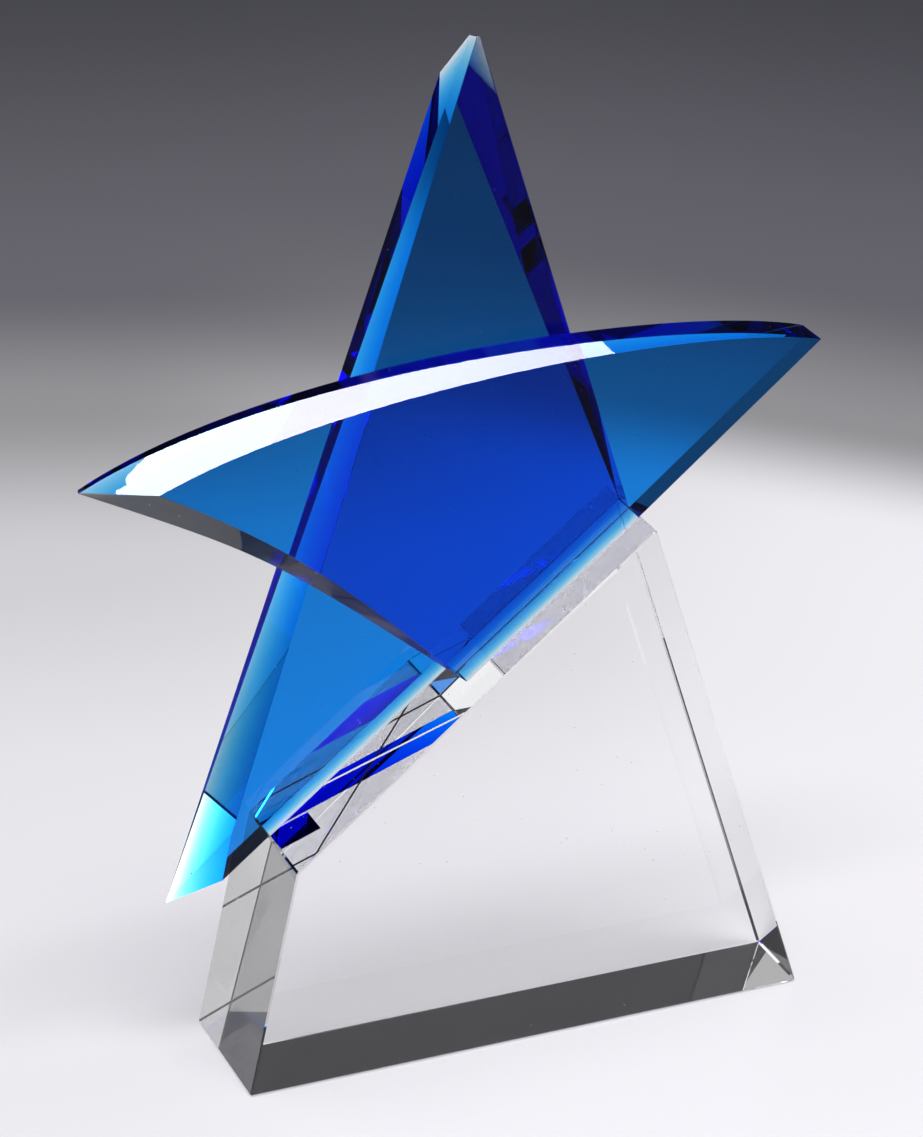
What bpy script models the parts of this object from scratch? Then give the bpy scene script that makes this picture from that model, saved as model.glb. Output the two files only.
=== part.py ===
"""Star trophy of glued optical glass.

A clear base block carries two blue blades, a tall spike behind a curved wing, and the three
outlines together read as a five-pointed star whose fifth point is the base. Nothing moves.

Outlines are drawn as (x, z) points seen from the front, measured from the lower left corner of
the base block's front face. Depth runs along +Y, away from the viewer.
"""

from math import pi

import bmesh
import bpy
from mathutils import Vector
from mathutils.geometry import interpolate_bezier

MM = 0.001

# Base block: a four-sided prism whose top face falls to the left.
BASE_LENGTH = 145.0 * MM
BASE_DEPTH = 38.0 * MM
TOP_LEFT = Vector((13.0, 58.0)) * MM
TOP_RIGHT = Vector((104.2, 130.5)) * MM
BASE_CHAMFER = 0.4 * MM

# Glass blades and the space that their adhesive takes.
BLADE_THICKNESS = 10.0 * MM
FRONT_LEDGE = 9.0 * MM
BOND_GAP = 0.3 * MM
FILM_THICKNESS = 0.1 * MM
FILM_INSET = 0.2 * MM

# Distances along the base's slanted top, from its left corner.
SPIKE_TIP_REACH = -29.5 * MM
SPIKE_HEEL_REACH = -15.2 * MM
WING_FOOT_START = 59.6 * MM
BLADE_FOOT_END = 116.0 * MM

# Spike: where its front face's edges would cross, a point of its back face's left edge, the corner
# of its front face above the foot, and its height with the point taken off.
SPIKE_APEX_FRONT = Vector((66.5, 251.4)) * MM
SPIKE_LEFT_BACK = Vector((60.8, 238.1)) * MM
SPIKE_KNEE = Vector((3.5, 60.5)) * MM
SPIKE_HEIGHT = 250.2 * MM

# The bevel behind the spike's right edge: it leaves the front face at the point and runs out at the foot.
REAR_BEVEL_FRONT = Vector((66.9, 250.2)) * MM
REAR_BEVEL_BACK = Vector((61.75, 238.1)) * MM

# Wing: control points of its outline's two curves and of its front face's edges beside them. The
# two lower curves end at the wing's foot on the base.
WING_CREST = [Vector(p) * MM for p in ((-31.1, 155.7), (13.6, 179.3), (113.4, 179.5), (150.2, 168.6))]
WING_BELLY = [Vector(p) * MM for p in ((-31.1, 155.0), (12.5, 133.7), (12.5, 134.3))]
FACE_CREST = [Vector(p) * MM for p in ((-15.0, 155.6), (24.2, 172.6), (114.3, 177.8), (150.2, 168.6))]
FACE_BELLY = [Vector(p) * MM for p in ((-15.0, 155.6), (15.5, 138.2), (28.5, 126.4))]
CREST_BEVEL_DEPTH = 8.3 * MM
BELLY_BEVEL_DEPTH = 9.4 * MM
CREST_STEPS = 36
BELLY_STEPS = 28

# Faces in depth, front to back.
WING_FRONT = FRONT_LEDGE
WING_BACK = WING_FRONT + BLADE_THICKNESS
SPIKE_FRONT = WING_BACK + BOND_GAP
SPIKE_BACK = SPIKE_FRONT + BLADE_THICKNESS

SLOPE = (TOP_RIGHT - TOP_LEFT).normalized()
SLOPE_UP = Vector((-SLOPE.y, SLOPE.x))
FILM_START = (BOND_GAP - FILM_THICKNESS) / 2
MERGE = 0.001 * MM

CLEAR_GLASS = ("clear_glass", (0.93, 0.95, 0.96), 0.02, 0.75)
BLUE_GLASS = ("blue_glass", (0.0, 0.14, 0.72), 0.02, 0.15)
ADHESIVE = ("uv_adhesive", (0.95, 0.95, 0.93), 0.10, 0.60)


def clear_scene():
    for obj in list(bpy.data.objects):
        bpy.data.objects.remove(obj, do_unlink=True)


def new_collection(name):
    collection = bpy.data.collections.new(name)
    bpy.context.scene.collection.children.link(collection)
    return collection


def material(name, finish):
    """A Principled material of the part's own, see-through as glass is."""
    _, colour, roughness, transmission = finish
    mat = bpy.data.materials.new(name + "_" + finish[0])
    mat.use_nodes = True
    shader = mat.node_tree.nodes["Principled BSDF"]
    shader.inputs["Base Color"].default_value = (*colour, 1.0)
    shader.inputs["Metallic"].default_value = 0.0
    shader.inputs["Roughness"].default_value = roughness
    shader.inputs["IOR"].default_value = 1.52
    shader.inputs["Transmission Weight"].default_value = transmission
    return mat


def object_from_bmesh(name, bm, collection, finish=None):
    mesh = bpy.data.meshes.new(name)
    bmesh.ops.recalc_face_normals(bm, faces=bm.faces)
    bm.to_mesh(mesh)
    bm.free()
    obj = bpy.data.objects.new(name, mesh)
    collection.objects.link(obj)
    if finish:
        mesh.materials.append(material(name, finish))
    return obj


def on_slope(reach, height=BOND_GAP):
    """The outline point this far along the base's slanted top and this far above it."""
    return TOP_LEFT + SLOPE * reach + SLOPE_UP * height


def in_depth(point, depth):
    return Vector((point.x, depth, point.y))


def prism(name, outline, front, back, collection, finish=None):
    """A flat outline as a filled 2D curve, extruded from front to back and made a mesh."""
    curve = bpy.data.curves.new(name, "CURVE")
    curve.dimensions = "2D"
    curve.fill_mode = "BOTH"
    curve.extrude = (back - front) / 2
    spline = curve.splines.new("POLY")
    spline.points.add(len(outline) - 1)
    for place, point in zip(spline.points, outline):
        place.co = (point.x, point.y, 0.0, 1.0)
    spline.use_cyclic_u = True
    flat = bpy.data.objects.new(name + "_outline", curve)
    flat.location = (0.0, (front + back) / 2, 0.0)
    flat.rotation_euler = (pi / 2, 0.0, 0.0)
    collection.objects.link(flat)
    bpy.context.view_layer.update()

    mesh = bpy.data.meshes.new_from_object(flat.evaluated_get(bpy.context.evaluated_depsgraph_get()))
    bm = bmesh.new()
    bm.from_mesh(mesh)
    bmesh.ops.remove_doubles(bm, verts=bm.verts, dist=MERGE)
    bmesh.ops.dissolve_limit(bm, angle_limit=0.001, verts=bm.verts, edges=bm.edges)
    obj = object_from_bmesh(name, bm, collection, finish)
    obj.matrix_world = flat.matrix_world.copy()
    bpy.data.objects.remove(flat, do_unlink=True)
    bpy.data.meshes.remove(mesh)
    return obj


def slab_on_slope(name, start, end, front, back, collection, finish):
    """A thin rectangle of adhesive lying in the middle of the gap over the base's slanted top."""
    low, high = FILM_START, FILM_START + FILM_THICKNESS
    outline = [on_slope(start, low), on_slope(end, low), on_slope(end, high), on_slope(start, high)]
    return prism(name, outline, front, back, collection, finish)


def cut_by_plane(bm, on_plane, inside):
    """Removes what lies beyond the plane through three points, seen from the inside point."""
    a, b, c = on_plane
    normal = (b - a).cross(c - a).normalized()
    if normal.dot(inside - a) > 0:
        normal.negate()
    geometry = bm.verts[:] + bm.edges[:] + bm.faces[:]
    cut = bmesh.ops.bisect_plane(bm, geom=geometry, dist=MERGE, plane_co=a, plane_no=normal, clear_outer=True)
    rim = [item for item in cut["geom_cut"] if isinstance(item, bmesh.types.BMEdge)]
    bmesh.ops.edgenet_fill(bm, edges=rim)


def to_foot(curve):
    """A lower curve of the wing, with its end on the base's slanted top."""
    return [*curve, on_slope(WING_FOOT_START)]


def along(curve, steps):
    """Points of a Bezier curve, from end to end."""
    return interpolate_bezier(*curve, steps + 1)


def wing_rings():
    """Three closed rings of the wing with matching points: front face, ridge and back face.

    Both bevels are deepest at the left tip and run out to nothing at the right tip and the foot.
    """
    front, ridge, back = [], [], []

    def add(edge, outline, depth):
        front.append(in_depth(edge, WING_FRONT))
        ridge.append(in_depth(outline, WING_FRONT + depth))
        back.append(in_depth(outline, WING_BACK))

    crest = list(zip(along(FACE_CREST, CREST_STEPS), along(WING_CREST, CREST_STEPS)))
    belly = list(zip(along(to_foot(FACE_BELLY), BELLY_STEPS), along(to_foot(WING_BELLY), BELLY_STEPS)))
    heel = on_slope(BLADE_FOOT_END)
    for i, (edge, outline) in enumerate(crest):
        add(edge, outline, CREST_BEVEL_DEPTH * (1 - i / CREST_STEPS))
    add(heel, heel, 0.0)
    for i, (edge, outline) in reversed(list(enumerate(belly))):
        add(edge, outline, BELLY_BEVEL_DEPTH * (1 - i / BELLY_STEPS))
    return front, ridge, back


def make_base(collection):
    outline = [Vector((0.0, 0.0)), Vector((BASE_LENGTH, 0.0)), TOP_RIGHT, TOP_LEFT]
    base = prism("base_block", outline, 0.0, BASE_DEPTH, collection, CLEAR_GLASS)
    chamfer = base.modifiers.new("polished_chamfer", "BEVEL")
    chamfer.width = BASE_CHAMFER
    chamfer.segments = 1
    chamfer.limit_method = "ANGLE"
    return base


def make_spike(collection):
    """The spike is a flat plate with its sides, its two long bevels and its ends ground off."""
    tip = on_slope(SPIKE_TIP_REACH)
    heel = on_slope(SPIKE_HEEL_REACH)
    foot = on_slope(BLADE_FOOT_END)
    apex_front = in_depth(SPIKE_APEX_FRONT, SPIKE_FRONT)
    left_back = in_depth(SPIKE_LEFT_BACK, SPIKE_BACK)
    tip_back = in_depth(tip, SPIKE_BACK)
    knee = in_depth(SPIKE_KNEE, SPIKE_FRONT)

    bm = bmesh.new()
    bmesh.ops.create_cube(bm, size=1.0)
    width, height = 0.3, 0.4
    centre = Vector((SPIKE_APEX_FRONT.x, (SPIKE_FRONT + SPIKE_BACK) / 2, height / 2))
    bmesh.ops.scale(bm, vec=(width, BLADE_THICKNESS, height), verts=bm.verts)
    bmesh.ops.translate(bm, vec=centre, verts=bm.verts)

    inside = in_depth((SPIKE_APEX_FRONT + on_slope(0.0) + foot) / 3, centre.y)
    left_side = (in_depth(SPIKE_LEFT_BACK, SPIKE_FRONT), left_back, tip_back)
    right_side = (apex_front, in_depth(SPIKE_APEX_FRONT, SPIKE_BACK), in_depth(foot, SPIKE_BACK))
    underside = (tip_back, in_depth(heel, SPIKE_FRONT), in_depth(foot, SPIKE_BACK))
    left_bevel = (apex_front, knee, tip_back)
    rear_bevel = (
        in_depth(REAR_BEVEL_FRONT, SPIKE_FRONT),
        in_depth(REAR_BEVEL_BACK, SPIKE_BACK),
        in_depth(foot, SPIKE_BACK),
    )
    tip_facet = (knee, in_depth(heel, SPIKE_FRONT), tip_back)
    top = [Vector((x, y, SPIKE_HEIGHT)) for x, y in ((0.0, 0.0), (1.0, 0.0), (0.0, 1.0))]
    for plane in (left_side, right_side, underside, left_bevel, rear_bevel, tip_facet, top):
        cut_by_plane(bm, plane, inside)
    bmesh.ops.remove_doubles(bm, verts=bm.verts, dist=MERGE)
    return object_from_bmesh("rear_spike", bm, collection, BLUE_GLASS)


def make_wing(collection):
    """The wing is a loft: its front edges run beside its outline at a changing distance."""
    bm = bmesh.new()
    rings = [[bm.verts.new(point) for point in ring] for ring in wing_rings()]
    bm.faces.new(rings[0])
    bm.faces.new(reversed(rings[2]))
    count = len(rings[0])
    for near, far in zip(rings, rings[1:]):
        for i in range(count):
            following = (i + 1) % count
            bm.faces.new((near[following], near[i], far[i], far[following]))
    bmesh.ops.remove_doubles(bm, verts=bm.verts, dist=MERGE)
    bmesh.ops.dissolve_degenerate(bm, edges=bm.edges, dist=MERGE)
    return object_from_bmesh("front_wing", bm, collection, BLUE_GLASS)


def make_base_bonds(collection):
    slab_on_slope(
        "bond_base_spike",
        FILM_INSET,
        BLADE_FOOT_END - FILM_INSET,
        SPIKE_FRONT + FILM_INSET,
        SPIKE_BACK - FILM_INSET,
        collection,
        ADHESIVE,
    )
    slab_on_slope(
        "bond_base_wing",
        WING_FOOT_START + FILM_INSET,
        BLADE_FOOT_END - FILM_INSET,
        WING_FRONT + FILM_INSET,
        WING_BACK - FILM_INSET,
        collection,
        ADHESIVE,
    )


def make_blade_bond(collection, cutters):
    """The film between the blades fills the wing's back face where the spike's front lies on it."""
    front = WING_BACK + FILM_START
    back = front + FILM_THICKNESS
    foot = on_slope(BLADE_FOOT_END)
    belly = along(to_foot(WING_BELLY), BELLY_STEPS)
    wing_outline = along(WING_CREST, CREST_STEPS) + [foot] + belly[::-1]
    film = prism("bond_spike_wing", wing_outline, front, back, collection, ADHESIVE)
    spike_outline = [SPIKE_APEX_FRONT, SPIKE_KNEE, on_slope(SPIKE_HEEL_REACH), foot]
    cutter = prism("spike_front_cutter", spike_outline, WING_FRONT, SPIKE_BACK, cutters)
    cutter.hide_render = True
    cutter.display_type = "WIRE"
    overlap = film.modifiers.new("spike_overlap", "BOOLEAN")
    overlap.operation = "INTERSECT"
    overlap.object = cutter
    return film


def centre_on_origin(collections):
    """Hangs every piece on one empty, so that the trophy stands centred on the origin."""
    empty = bpy.data.objects.new("trophy_centre", None)
    middle = (WING_CREST[0].x + WING_CREST[-1].x) / 2
    empty.location = (-middle, -BASE_DEPTH / 2, 0.0)
    collections[0].objects.link(empty)
    for collection in collections:
        for obj in collection.objects:
            if obj is not empty:
                obj.parent = empty


def main():
    clear_scene()
    trophy = new_collection("star_trophy")
    cutters = new_collection("cutters")
    make_base(trophy)
    make_spike(trophy)
    make_wing(trophy)
    make_base_bonds(trophy)
    make_blade_bond(trophy, cutters)
    centre_on_origin((trophy, cutters))
    bpy.context.view_layer.update()


main()
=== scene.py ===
"""Looks of the glass star trophy: optical glass, its glued joints, and a soft studio round it.

Three blocks of glass are glued into one. A cured joint is optically as good as no joint, so every
glued face is a face of its own that neither bends nor reflects light, and each bond is a clear film
that fills the gap and shows only by its rim.
"""

from math import cos, pi, radians, sin

import bmesh
import bpy
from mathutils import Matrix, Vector


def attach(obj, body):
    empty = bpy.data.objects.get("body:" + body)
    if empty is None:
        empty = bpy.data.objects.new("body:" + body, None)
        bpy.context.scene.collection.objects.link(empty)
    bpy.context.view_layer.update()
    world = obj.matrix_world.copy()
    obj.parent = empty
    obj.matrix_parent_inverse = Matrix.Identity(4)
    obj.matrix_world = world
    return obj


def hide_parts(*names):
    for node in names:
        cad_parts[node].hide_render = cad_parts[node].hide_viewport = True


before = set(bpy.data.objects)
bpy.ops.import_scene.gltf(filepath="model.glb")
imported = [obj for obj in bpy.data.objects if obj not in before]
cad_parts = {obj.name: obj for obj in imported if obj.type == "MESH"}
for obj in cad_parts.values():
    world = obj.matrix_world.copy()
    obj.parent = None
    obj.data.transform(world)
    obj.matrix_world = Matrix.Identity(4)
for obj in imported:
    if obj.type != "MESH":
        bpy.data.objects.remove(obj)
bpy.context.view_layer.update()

MM = 0.001
MERGE = 0.0005 * MM
SAME_PLANE = radians(0.05)
ACROSS = 0.99

# Camera, in the frame of the trophy.
CAMERA_PLACE = Vector((-0.3475, -0.8532, 0.5438))
CAMERA_TILT = radians(65.32)
CAMERA_TURN = radians(-22.32)
FOCAL_LENGTH = 136.15
SENSOR_HEIGHT = 36.0

# Glass and its joints.
GLASS_IOR = 1.517
CHAMFER = 0.25 * MM
CHAMFER_SHARE = 0.3
SHARP_ANGLE = radians(12)
CLEAR = ((0.95, 0.965, 0.99), 1.0)
BLUE = ((0.0, 0.733, 0.976), 450.0)
SPECKS_PER_METRE = 260.0
SPECK_SIZE = 0.05
SPECK_SHARE = 0.35
SPECK_ROUGHNESS = 0.6
FILM_HALF = 0.145 * MM
RECESS_HALF = 0.17 * MM
BONDED = "bonded"
GLASS_MARKER = "glass_marker"
GLUE_MARKER = "glue_marker"
BONDS = {
    "bond_base_spike": ("base_block", "rear_spike"),
    "bond_base_wing": ("base_block", "front_wing"),
    "bond_spike_wing": ("rear_spike", "front_wing"),
}
SLOTS = {
    "base_block": "clear_glass",
    "rear_spike": "blue_glass_spike",
    "front_wing": "blue_glass_wing",
}
TINTS = {"base_block": CLEAR, "rear_spike": BLUE, "front_wing": BLUE}

# Studio. Distances on the paper run away from the camera, from the trophy's middle.
FLOOR_REACH = 4.0
FLOOR_GAP = 0.3 * MM
PAPER_ROUGHNESS = 0.4
# The paper glows: painted fill light that lifts the shadows round the trophy.
PAPER_PAINTED_FILL = 0.95
PAPER_FAR = 1.0
# Painted light on the paper as greys (distance, level), on the left and on the right, and how they
# turn blue as they darken: painted shade darkens the paper behind the trophy, and painted light
# from the right brightens that side.
PAPER_PAINTED_LIGHT_LEFT = ((0.05, 0.37), (0.12, 0.37), (0.27, 0.315), (0.39, 0.158), (0.5, 0.076), (0.9, 0.040))
PAPER_PAINTED_LIGHT_RIGHT = ((0.05, 0.39), (0.12, 0.40), (0.29, 0.42), (0.37, 0.145), (0.5, 0.070), (0.9, 0.038))
PAPER_RIGHT_LEAN = 0.45
PAPER_RIGHT_PIVOT = 0.14
PAPER_CROSSOVER = (-0.12, 0.14)
PAPER_GREEN = 0.985
PAPER_BLUE = 1.03
PAINTED_SHADE_BLUE_GAIN = 0.24
PAINTED_SHADE_BLUE_BELOW = 0.15
# Where the pale sheet goes over to dark grey, in front and at the sides, and that dark grey.
PAPER_FRONT_EDGE = (-0.125, -0.062)
PAPER_SIDE_EDGE = (0.34, 0.24)
DARK_SURROUND_COLOUR = (0.042, 0.042, 0.046)
ROOM_COLOUR = (0.014, 0.014, 0.018)
AIM = Vector((0.0, 0.0, 0.15))
STRIP_PLACE = (0.0, -0.393, 1.23)
STRIP_LEAN = radians(-20)
STRIP_SIZE = (1.0, 0.34)
STRIP_RADIANCE = 22.5
STRIP_FALL = ((0.0, 1.0), (0.5, 0.97), (0.75, 0.90), (0.9, 0.78), (1.0, 0.68))
LAMPS = (
    # name, azimuth, elevation, distance, width, height, radiance
    ("right_reflector", 92.0, 26.0, 1.2, 0.95, 0.42, 3.2),
    ("right_top_fill", 122.0, 52.0, 1.4, 0.5, 0.34, 0.6),
    ("front_fill", 157.0, 27.0, 1.6, 0.5, 0.5, 0.5),
    ("back_left_fill", -42.0, 10.0, 1.8, 0.4, 0.45, 0.38),
    ("back_left_near", -28.5, 8.5, 1.8, 0.42, 0.34, 0.95),
    ("left_front_reflector", -148.5, 9.0, 1.5, 0.4, 0.34, 0.9),
    ("back_fill", -20.0, 28.0, 1.8, 0.4, 0.25, 0.15),
    ("back_low_fill", 23.3, 24.1, 3.65, 0.25, 0.23, 0.24),
    ("back_left_top", -56.0, 60.0, 1.3, 0.9, 0.7, 2.4),
    ("top_fill", 0.0, 87.0, 1.35, 0.5, 0.45, 6.0),
    ("left_reflector", -122.0, 16.0, 1.3, 0.4, 0.4, 1.2),
)
BOUNCES = 48
GLOSSY_BOUNCES = 24


# ---------------------------------------------------------------- shapes

def copy_of(node, name):
    """A CAD node as a new object, its loose triangles merged into flat faces."""
    mesh = bpy.data.meshes.new(name)
    bm = bmesh.new()
    bm.from_mesh(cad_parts[node].data)
    bmesh.ops.remove_doubles(bm, verts=bm.verts, dist=MERGE)
    bmesh.ops.dissolve_limit(bm, angle_limit=SAME_PLANE, verts=bm.verts, edges=bm.edges)
    bmesh.ops.recalc_face_normals(bm, faces=bm.faces)
    bm.to_mesh(mesh)
    bm.free()
    normals = mesh.attributes.get("custom_normal")
    if normals:
        mesh.attributes.remove(normals)
    obj = bpy.data.objects.new(name, mesh)
    bpy.context.scene.collection.objects.link(obj)
    return obj


def thicken(obj, half):
    """Sets a thin film's thickness, keeping its middle plane; returns the film's normal."""
    across = max(obj.data.polygons, key=lambda face: face.area).normal.copy()
    middle = sum((v.co for v in obj.data.vertices), Vector()) / len(obj.data.vertices)
    for v in obj.data.vertices:
        reach = (v.co - middle).dot(across)
        v.co += across * ((half if reach > 0 else -half) - reach)
    return across


def apply_modifiers(obj):
    """Replaces an object's mesh by its evaluated one."""
    graph = bpy.context.evaluated_depsgraph_get()
    graph.update()
    mesh = bpy.data.meshes.new_from_object(obj.evaluated_get(graph))
    obj.modifiers.clear()
    obj.data = mesh


def cover(obj, mat):
    """Gives every face of an object one material."""
    obj.data.materials.clear()
    obj.data.materials.append(mat)
    obj.data.polygons.foreach_set("material_index", [0] * len(obj.data.polygons))


def polish_edges(obj):
    """Fine chamfers on the sharp edges, narrower where a facet beside them is narrow."""
    bm = bmesh.new()
    bm.from_mesh(obj.data)
    weight = bm.edges.layers.float.new("bevel_weight_edge")
    for edge in bm.edges:
        if edge.calc_face_angle(0.0) < SHARP_ANGLE:
            continue
        narrowest = min(face.calc_area() / edge.calc_length() for face in edge.link_faces)
        edge[weight] = min(1.0, narrowest * CHAMFER_SHARE / CHAMFER)
    bm.to_mesh(obj.data)
    bm.free()
    chamfer = obj.modifiers.new("polished_chamfer", "BEVEL")
    chamfer.width = CHAMFER
    chamfer.segments = 1
    chamfer.limit_method = "WEIGHT"
    apply_modifiers(obj)


def glue_face(obj, film, across):
    """Sinks the film's outline a hair into the glass and marks the floor of it as bonded."""
    cover(obj, bpy.data.materials[GLASS_MARKER])
    sink = obj.modifiers.new("glue_recess", "BOOLEAN")
    sink.operation = "DIFFERENCE"
    sink.material_mode = "TRANSFER"
    sink.object = film
    apply_modifiers(obj)
    markers = [m.name for m in obj.data.materials]
    flags = obj.data.attributes.get(BONDED) or obj.data.attributes.new(BONDED, "FLOAT", "FACE")
    for face in obj.data.polygons:
        floor = abs(face.normal.dot(across)) > ACROSS
        if markers[face.material_index] == GLUE_MARKER and floor:
            flags.data[face.index].value = 1.0


def make_bonds(glass):
    """Marks both glued faces of each joint."""
    for marker in (GLASS_MARKER, GLUE_MARKER):
        bpy.data.materials.new(marker)
    for name, glued in BONDS.items():
        cutter = copy_of(name, name + "_cutter")
        cutter.data.materials.append(bpy.data.materials[GLUE_MARKER])
        across = thicken(cutter, RECESS_HALF)
        for node in glued:
            glue_face(glass[node], cutter, across)
        bpy.data.objects.remove(cutter, do_unlink=True)


# ---------------------------------------------------------------- materials

def new_material(name):
    """A new material, with the nodes and links that it starts with."""
    mat = bpy.data.materials.new(name)
    mat.use_nodes = True
    return mat, mat.node_tree.nodes, mat.node_tree.links


def feed(links, socket, value):
    """Sets a socket to a number, or links another node's output to it."""
    if isinstance(value, bpy.types.NodeSocket):
        links.new(value, socket)
    else:
        socket.default_value = value


def place_in(nodes, links):
    """A point's place in its own object, as separate axes."""
    place = nodes.new("ShaderNodeTexCoord")
    axes = nodes.new("ShaderNodeSeparateXYZ")
    links.new(place.outputs["Object"], axes.inputs["Vector"])
    return axes.outputs


def maths(nodes, links, operation, *values):
    """The result of one operation on numbers and outputs of other nodes."""
    node = nodes.new("ShaderNodeMath")
    node.operation = operation
    for socket, value in zip(node.inputs, values):
        feed(links, socket, value)
    return node.outputs["Value"]


def share(nodes, links, value, start, end, interpolation="LINEAR"):
    """How far a value has come from start, where it is 0, to end, where it is 1."""
    node = nodes.new("ShaderNodeMapRange")
    node.interpolation_type = interpolation
    node.inputs["From Min"].default_value = start
    node.inputs["From Max"].default_value = end
    links.new(value, node.inputs["Value"])
    return node.outputs["Result"]


def ramp(nodes, links, value, stops, interpolation="LINEAR"):
    """A share turned into a colour, by stops of (share, colour)."""
    node = nodes.new("ShaderNodeValToRGB")
    node.color_ramp.interpolation = interpolation
    points = node.color_ramp.elements
    while len(points) < len(stops):
        points.new(0.5)
    for point, (position, colour) in zip(points, stops):
        point.position = position
        point.color = (*colour, 1.0)
    links.new(value, node.inputs["Fac"])
    return node.outputs["Color"]


def mix(nodes, links, factor, first, second):
    """A blend of two colours, all first where the factor is 0."""
    node = nodes.new("ShaderNodeMix")
    node.data_type = "RGBA"
    for socket, value in (("Factor", factor), ("A", first), ("B", second)):
        feed(links, node.inputs[socket], value)
    return node.outputs["Result"]


def optical_glass(name, tint=None, density=0.0):
    """Polished glass. Where a face is bonded, light goes through as if the glass went on."""
    mat, nodes, links = new_material(name)
    shader = nodes["Principled BSDF"]
    shader.inputs["Base Color"].default_value = (1.0, 1.0, 1.0, 1.0)
    shader.inputs["Roughness"].default_value = 0.0
    shader.inputs["IOR"].default_value = GLASS_IOR
    shader.inputs["Transmission Weight"].default_value = 1.0

    # A few specks of dust, dull spots a few tenths of a millimetre wide.
    place = nodes.new("ShaderNodeTexCoord")
    grains = nodes.new("ShaderNodeTexVoronoi")
    grains.inputs["Scale"].default_value = SPECKS_PER_METRE
    links.new(place.outputs["Object"], grains.inputs["Vector"])
    close = maths(nodes, links, "LESS_THAN", grains.outputs["Distance"], SPECK_SIZE)
    kind = nodes.new("ShaderNodeSeparateColor")
    links.new(grains.outputs["Color"], kind.inputs["Color"])
    rare = maths(nodes, links, "GREATER_THAN", kind.outputs["Red"], 1.0 - SPECK_SHARE)
    speck = maths(nodes, links, "MULTIPLY", close, rare)
    dullness = maths(nodes, links, "MULTIPLY", speck, SPECK_ROUGHNESS)
    links.new(dullness, shader.inputs["Roughness"])

    bonded = nodes.new("ShaderNodeAttribute")
    bonded.attribute_name = BONDED
    ior = nodes.new("ShaderNodeMapRange")
    ior.inputs["To Min"].default_value = GLASS_IOR
    ior.inputs["To Max"].default_value = 1.0
    links.new(bonded.outputs["Fac"], ior.inputs["Value"])
    links.new(ior.outputs["Result"], shader.inputs["IOR"])

    if tint:
        depth = nodes.new("ShaderNodeVolumeAbsorption")
        depth.inputs["Color"].default_value = (*tint, 1.0)
        depth.inputs["Density"].default_value = density
        links.new(depth.outputs["Volume"], nodes["Material Output"].inputs["Volume"])
    return mat


def painted_shade_grey(level):
    """A grey of the painted shade on the paper, which turns a little blue as it darkens."""
    blue = PAPER_BLUE + PAINTED_SHADE_BLUE_GAIN * max(0.0, 1.0 - level / PAINTED_SHADE_BLUE_BELOW)
    return level, level * PAPER_GREEN, level * blue


def paper():
    """A pale sheet with painted light: painted shade darkens it behind the trophy, painted light
    brightens its right side, and it goes over to dark grey in front and at the sides.
    """
    mat, nodes, links = new_material("graduated_paper")
    shader = nodes["Principled BSDF"]
    shader.inputs["Roughness"].default_value = PAPER_ROUGHNESS
    axes = place_in(nodes, links)
    along, aside = axes["Y"], axes["X"]

    # Painted shade that darkens the paper behind the trophy, and painted light that brightens its
    # right side.
    shades = []
    for stops, lean in ((PAPER_PAINTED_LIGHT_LEFT, 0.0), (PAPER_PAINTED_LIGHT_RIGHT, PAPER_RIGHT_LEAN)):
        reach = maths(nodes, links, "MULTIPLY_ADD", aside, lean, along)
        start = lean * PAPER_RIGHT_PIVOT
        distance = share(nodes, links, reach, start, start + PAPER_FAR)
        painted_shade_stops = [(far / PAPER_FAR, painted_shade_grey(level)) for far, level in stops]
        shades.append(ramp(nodes, links, distance, painted_shade_stops, "EASE"))
    crossover = share(nodes, links, aside, *PAPER_CROSSOVER, "SMOOTHSTEP")
    blend = mix(nodes, links, crossover, *shades)

    # In front and at the sides the pale sheet goes over to dark grey.
    side = maths(nodes, links, "ABSOLUTE", aside)
    front_edge = share(nodes, links, along, *PAPER_FRONT_EDGE, "SMOOTHSTEP")
    side_edge = share(nodes, links, side, *PAPER_SIDE_EDGE, "SMOOTHSTEP")
    sheet = maths(nodes, links, "MULTIPLY", front_edge, side_edge)
    colour = mix(nodes, links, sheet, (*DARK_SURROUND_COLOUR, 1.0), blend)
    links.new(colour, shader.inputs["Base Color"])
    # The glow of the paper's colour is painted fill light.
    links.new(colour, shader.inputs["Emission Color"])
    shader.inputs["Emission Strength"].default_value = PAPER_PAINTED_FILL
    return mat


def strip_light():
    """The face of the overhead softbox, which falls off towards its right end."""
    mat, nodes, links = new_material("softbox_face")
    nodes.clear()
    half = STRIP_SIZE[0] / 2
    across = share(nodes, links, place_in(nodes, links)["X"], -half, half)
    levels = [(position, (level, level, level)) for position, level in STRIP_FALL]
    glow = nodes.new("ShaderNodeEmission")
    glow.inputs["Strength"].default_value = STRIP_RADIANCE
    links.new(ramp(nodes, links, across, levels), glow.inputs["Color"])
    end = nodes.new("ShaderNodeOutputMaterial")
    links.new(glow.outputs["Emission"], end.inputs["Surface"])
    return mat


# ---------------------------------------------------------------- build

def make_glass():
    """The three blocks of glass; the base has its chamfers from the CAD model."""
    glass = {}
    for node in SLOTS:
        glass[node] = copy_of(node, node + "_glass")
        if node != "base_block":
            polish_edges(glass[node])
    return glass


def finish_glass(glass):
    """Tints the glass and puts each block in its place in the frame."""
    for node, piece in glass.items():
        cover(piece, optical_glass(SLOTS[node], *TINTS[node]))
        piece.data.shade_smooth()
        piece.data.set_sharp_from_angle(angle=SHARP_ANGLE)
        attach(piece, "root")
        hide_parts(node)


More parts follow.
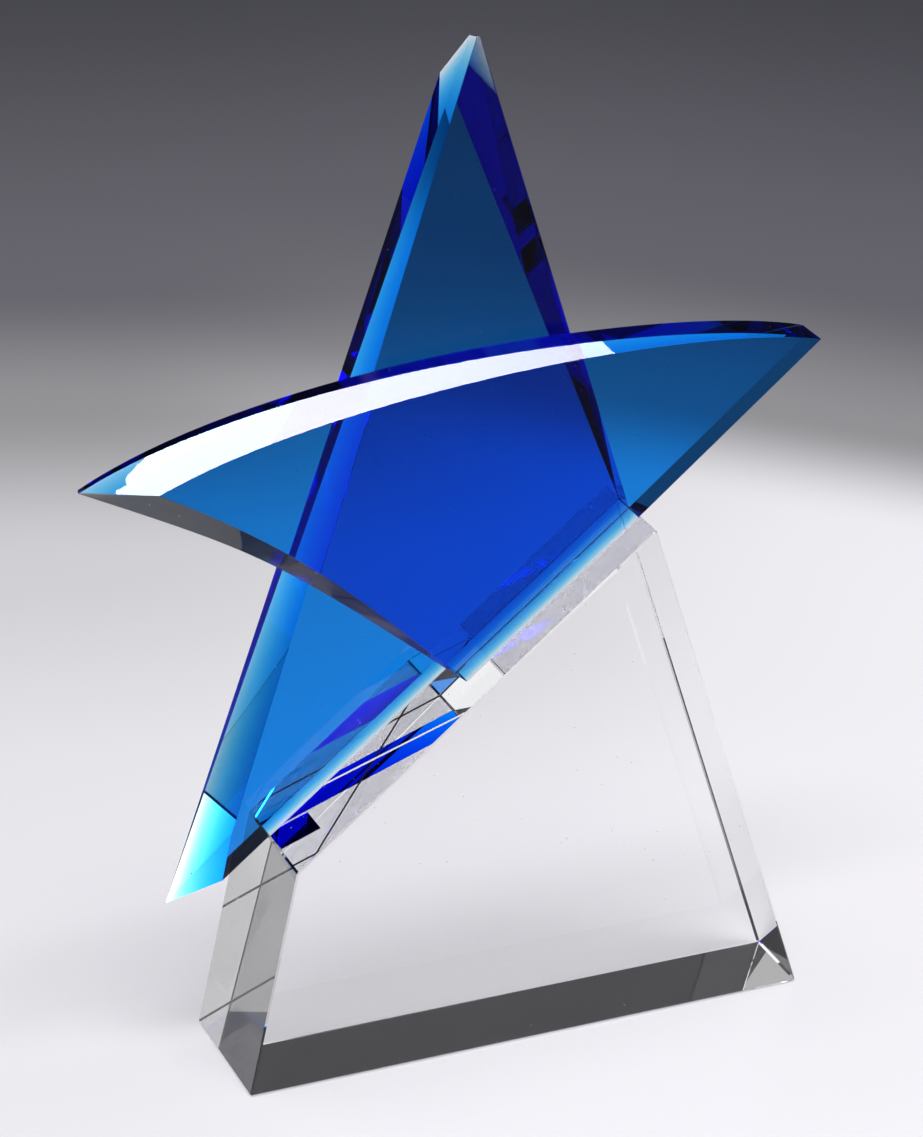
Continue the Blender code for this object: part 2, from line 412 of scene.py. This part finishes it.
def make_films():
    """The clear films between the glued faces."""
    finish = optical_glass("uv_adhesive")
    for name in BONDS:
        film = copy_of(name, name + "_film")
        across = thicken(film, FILM_HALF)
        flags = film.data.attributes.new(BONDED, "FLOAT", "FACE")
        for face in film.data.polygons:
            flags.data[face.index].value = float(abs(face.normal.dot(across)) > ACROSS)
        film.data.materials.append(finish)
        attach(film, "root")
        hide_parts(name)


def flat_panel(name, size, place, turn, mat):
    """A flat rectangle of the stage."""
    mesh = bpy.data.meshes.new(name)
    x, y = size[0] / 2, size[1] / 2
    mesh.from_pydata([(-x, -y, 0.0), (x, -y, 0.0), (x, y, 0.0), (-x, y, 0.0)], [], [(0, 1, 2, 3)])
    mesh.materials.append(mat)
    obj = bpy.data.objects.new(name, mesh)
    obj.location = place
    obj.rotation_euler = turn
    bpy.context.scene.collection.objects.link(obj)


def softbox(name, azimuth, elevation, distance, width, height, radiance):
    """A lamp that faces the trophy; azimuth 0 is along +Y and 90 along +X."""
    lamp = bpy.data.lights.new(name, "AREA")
    lamp.shape = "RECTANGLE"
    lamp.size = width
    lamp.size_y = height
    lamp.energy = radiance * width * height * pi
    turn, rise = radians(azimuth), radians(elevation)
    away = Vector((sin(turn) * cos(rise), cos(turn) * cos(rise), sin(rise)))
    obj = bpy.data.objects.new(name, lamp)
    obj.location = AIM + away * distance
    obj.rotation_mode = "QUATERNION"
    obj.rotation_quaternion = away.to_track_quat("Z", "Y")
    bpy.context.scene.collection.objects.link(obj)


def make_studio():
    """The paper, the overhead softbox, the dark room and the other lamps."""
    floor_size = (2 * FLOOR_REACH, 2 * FLOOR_REACH)
    flat_panel("floor", floor_size, (0.0, 0.0, -FLOOR_GAP), (0.0, 0.0, CAMERA_TURN), paper())
    strip_turn = (STRIP_LEAN, 0.0, 0.0)
    flat_panel("overhead_softbox", STRIP_SIZE, STRIP_PLACE, strip_turn, strip_light())

    world = bpy.data.worlds.new("room")
    bpy.context.scene.world = world
    world.use_nodes = True
    world.node_tree.nodes["Background"].inputs["Color"].default_value = (*ROOM_COLOUR, 1.0)
    for lamp in LAMPS:
        softbox(*lamp)


def make_camera():
    """The camera that the picture is taken with."""
    data = bpy.data.cameras.new("camera")
    data.sensor_fit = "VERTICAL"
    data.sensor_height = SENSOR_HEIGHT
    data.lens = FOCAL_LENGTH
    camera = bpy.data.objects.new("camera", data)
    camera.location = CAMERA_PLACE
    camera.rotation_euler = (CAMERA_TILT, 0.0, CAMERA_TURN)
    bpy.context.scene.collection.objects.link(camera)
    bpy.context.scene.camera = camera


def set_rendering():
    """Enough bounces for light to get through three blocks of glass."""
    scene = bpy.context.scene
    scene.cycles.max_bounces = BOUNCES
    scene.cycles.transmission_bounces = BOUNCES
    scene.cycles.glossy_bounces = GLOSSY_BOUNCES
    scene.view_settings.view_transform = "Standard"


def main():
    """Builds everything."""
    glass = make_glass()
    make_bonds(glass)
    finish_glass(glass)
    make_films()
    make_camera()
    make_studio()
    set_rendering()


main()
